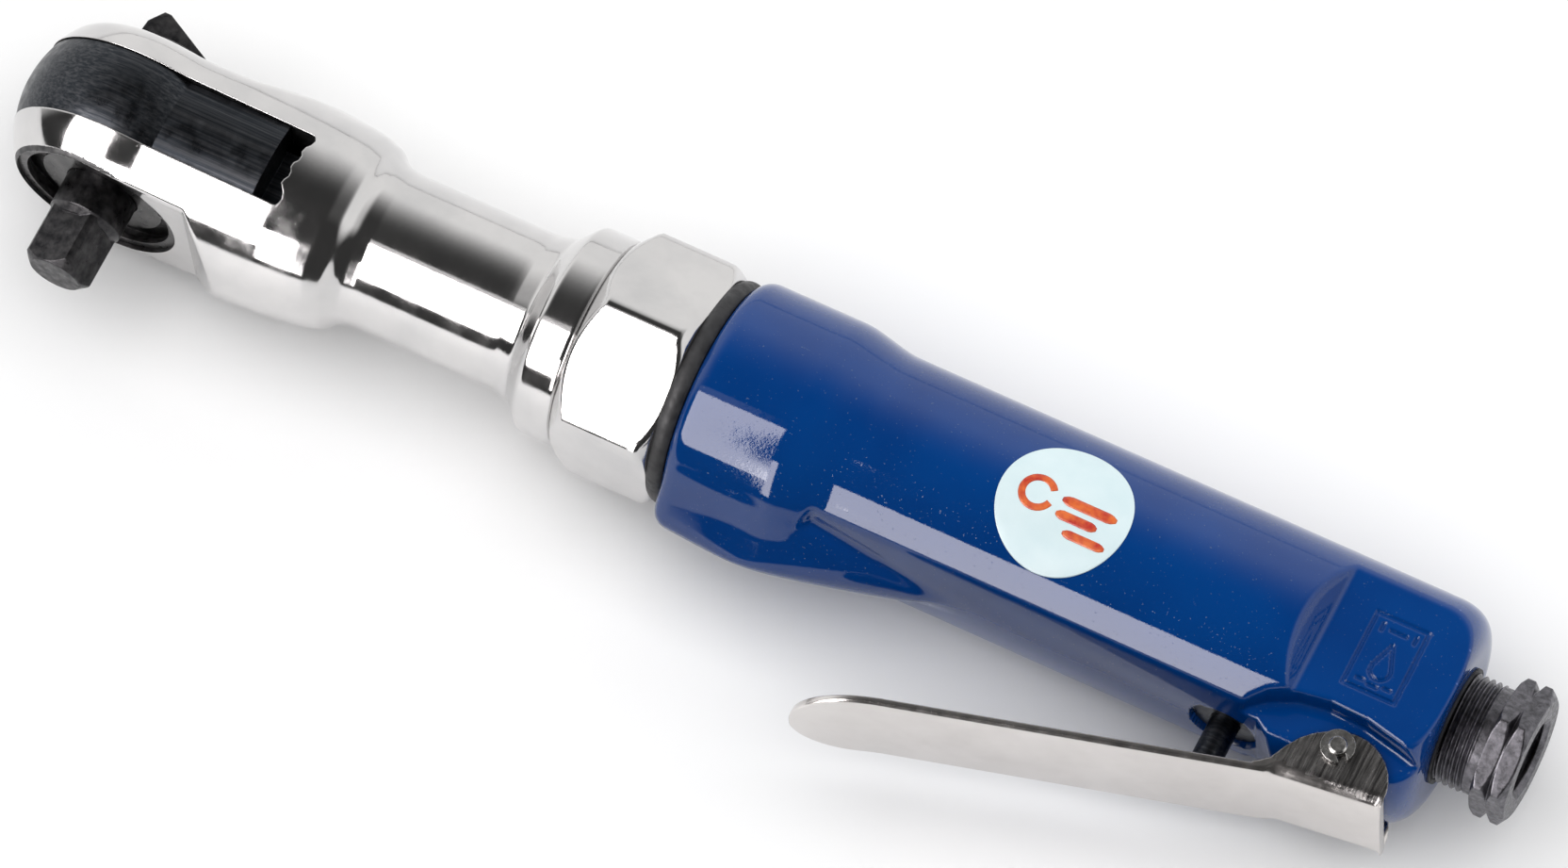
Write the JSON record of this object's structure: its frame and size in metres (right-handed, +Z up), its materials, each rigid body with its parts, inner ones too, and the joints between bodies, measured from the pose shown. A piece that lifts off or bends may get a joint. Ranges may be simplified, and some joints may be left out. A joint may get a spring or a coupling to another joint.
{
  "type": "air ratchet",
  "caption": "Pneumatic ratchet wrench: forked ball head with square drive and reversing lever, turned neck, clamp nut, painted grip, throttle lever and threaded air inlet.",
  "frame": {"origin": "middle of the bottom of the tool's box, the tool lying on its side", "axes": "+X along the tool axis from the head to the air inlet; +Y away from the square drive, which points to -Y with the throttle lever; +Z up, the label side"},
  "size_m": [0.28, 0.069, 0.0436],
  "materials": {
    "blue_paint": "deep gloss",
    "chrome": "polished plating",
    "black_rubber": "matte",
    "gunmetal": "dark nickel plating",
    "brass": "machined",
    "label": "printed film",
    "black_oxide": "black oxide",
    "satin_nickel": "satin nickel",
    "bright_steel": "ground",
    "spring_steel": "hardened",
    "washer_steel": "ground",
    "phenolic": "cut laminate"
  },
  "bodies": {
    "housing": {"motor_housing": "blue_paint", "clamp_nut": "chrome", "seal_ring": "black_rubber", "ratchet_housing": "chrome", "inlet_bushing": "gunmetal", "inlet_screen": "brass", "bushing_gasket": "black_rubber", "label_disc": "label", "valve_bushing": "black_oxide", "valve_spring": "spring_steel", "lever_pin": "bright_steel", "lever_pin_clips": "bright_steel", "motor_cylinder": "bright_steel", "front_end_plate": "bright_steel", "rear_end_plate": "bright_steel", "cylinder_dowel": "bright_steel", "spring_washer": "spring_steel", "front_rotor_bearing": "bright_steel", "rear_rotor_bearing": "bright_steel", "ring_gear": "black_oxide", "crankshaft_bearing": "bright_steel", "neck_bushing": "brass", "anvil_bushing": "black_oxide", "thrust_washer": "washer_steel", "retaining_ring": "spring_steel"},
    "lever": {"throttle_lever": "satin_nickel"},
    "throttle_valve": {"valve_stem": "black_oxide", "valve_plug": "brass", "valve_seal": "black_rubber"},
    "motor_rotor": {"rotor": "bright_steel", "rotor_blades": "phenolic"},
    "crank": {"crankshaft": "black_oxide", "planet_pins": "bright_steel"},
    "planet_a": {"planet_gear_a": "black_oxide"},
    "planet_b": {"planet_gear_b": "black_oxide"},
    "planet_c": {"planet_gear_c": "black_oxide"},
    "idler": {"crank_idler": "black_oxide"},
    "yoke": {"ratchet_yoke": "black_oxide"},
    "anvil": {"drive_anvil": "black_oxide", "pawl_pin": "bright_steel", "ball_spring": "spring_steel"},
    "knob": {"reverse_knob": "black_oxide", "detent_spring": "spring_steel"},
    "plunger": {"detent_plunger": "bright_steel"},
    "pawl_body": {"pawl": "black_oxide"},
    "ball": {"socket_ball": "bright_steel"}
  },
  "joints": [
    {"name": "lever_pivot", "type": "hinge", "parent": "housing", "child": "lever", "pos_m": [0.11252, -0.00345, 0.0218], "axis": [0, 0, -1], "range_deg": [0, 13], "stiffness_Nm_per_rad": 0.6, "springref_deg": -14.32},
    {"name": "valve_slide", "type": "slide", "parent": "housing", "child": "throttle_valve", "axis": [0, 1, 0], "range_m": [0, 0.005], "deforming": ["valve_spring"]},
    {"name": "rotor_spin", "type": "hinge", "parent": "housing", "child": "motor_rotor", "pos_m": [0.01002, 0.01215, 0.0218], "axis": [1, 0, 0], "continuous": true},
    {"name": "crank_spin", "type": "hinge", "parent": "housing", "child": "crank", "pos_m": [-0.05998, 0.01215, 0.0218], "axis": [1, 0, 0], "continuous": true},
    {"name": "planet_a_spin", "type": "hinge", "parent": "crank", "child": "planet_a", "pos_m": [-0.02978, 0.02093, 0.0218], "axis": [1, 0, 0], "continuous": true},
    {"name": "planet_b_spin", "type": "hinge", "parent": "crank", "child": "planet_b", "pos_m": [-0.02978, 0.00777, 0.0294], "axis": [1, 0, 0], "continuous": true},
    {"name": "planet_c_spin", "type": "hinge", "parent": "crank", "child": "planet_c", "pos_m": [-0.02978, 0.00777, 0.0142], "axis": [1, 0, 0], "continuous": true},
    {"name": "idler_spin", "type": "hinge", "parent": "crank", "child": "idler", "pos_m": [-0.08518, 0.01215, 0.0235], "axis": [1, 0, 0], "continuous": true},
    {"name": "yoke_swing", "type": "hinge", "parent": "housing", "child": "yoke", "pos_m": [-0.11998, 0.01215, 0.0218], "axis": [0, 1, 0], "range_deg": [-3, 3]},
    {"name": "anvil_spin", "type": "hinge", "parent": "housing", "child": "anvil", "pos_m": [-0.11998, 0.00215, 0.0218], "axis": [0, -1, 0], "continuous": true},
    {"name": "knob_turn", "type": "hinge", "parent": "anvil", "child": "knob", "pos_m": [-0.11998, 0.02216, 0.0218], "axis": [0, 1, 0], "range_deg": [-20, 20]},
    {"name": "pawl_tilt", "type": "hinge", "parent": "anvil", "child": "pawl_body", "pos_m": [-0.11308, 0.01215, 0.0218], "axis": [0, 1, 0], "range_deg": [-3.6, 3.6]},
    {"name": "plunger_slide", "type": "slide", "parent": "knob", "child": "plunger", "axis": [1, 0, 0], "range_m": [-0.0005, 0.0002], "stiffness_N_per_m": 200, "springref_m": 0.0002, "deforming": ["detent_spring"]},
    {"name": "ball_slide", "type": "slide", "parent": "anvil", "child": "ball", "axis": [-0.342, 0, 0.9397], "range_m": [0, 0.0009], "stiffness_N_per_m": 300, "springref_m": -0.0005, "deforming": ["ball_spring"]}
  ],
  "couplings": [
    {"joint": "valve_slide", "follows": "lever_pivot", "m_per_rad": 0.021848},
    {"joint": "crank_spin", "follows": "rotor_spin", "ratio": 0.22222},
    {"joint": "pawl_tilt", "follows": "knob_turn", "ratio": -0.175},
    {"joint": "planet_a_spin", "follows": "rotor_spin", "ratio": -0.62222},
    {"joint": "planet_b_spin", "follows": "rotor_spin", "ratio": -0.62222},
    {"joint": "planet_c_spin", "follows": "rotor_spin", "ratio": -0.62222}
  ]
}
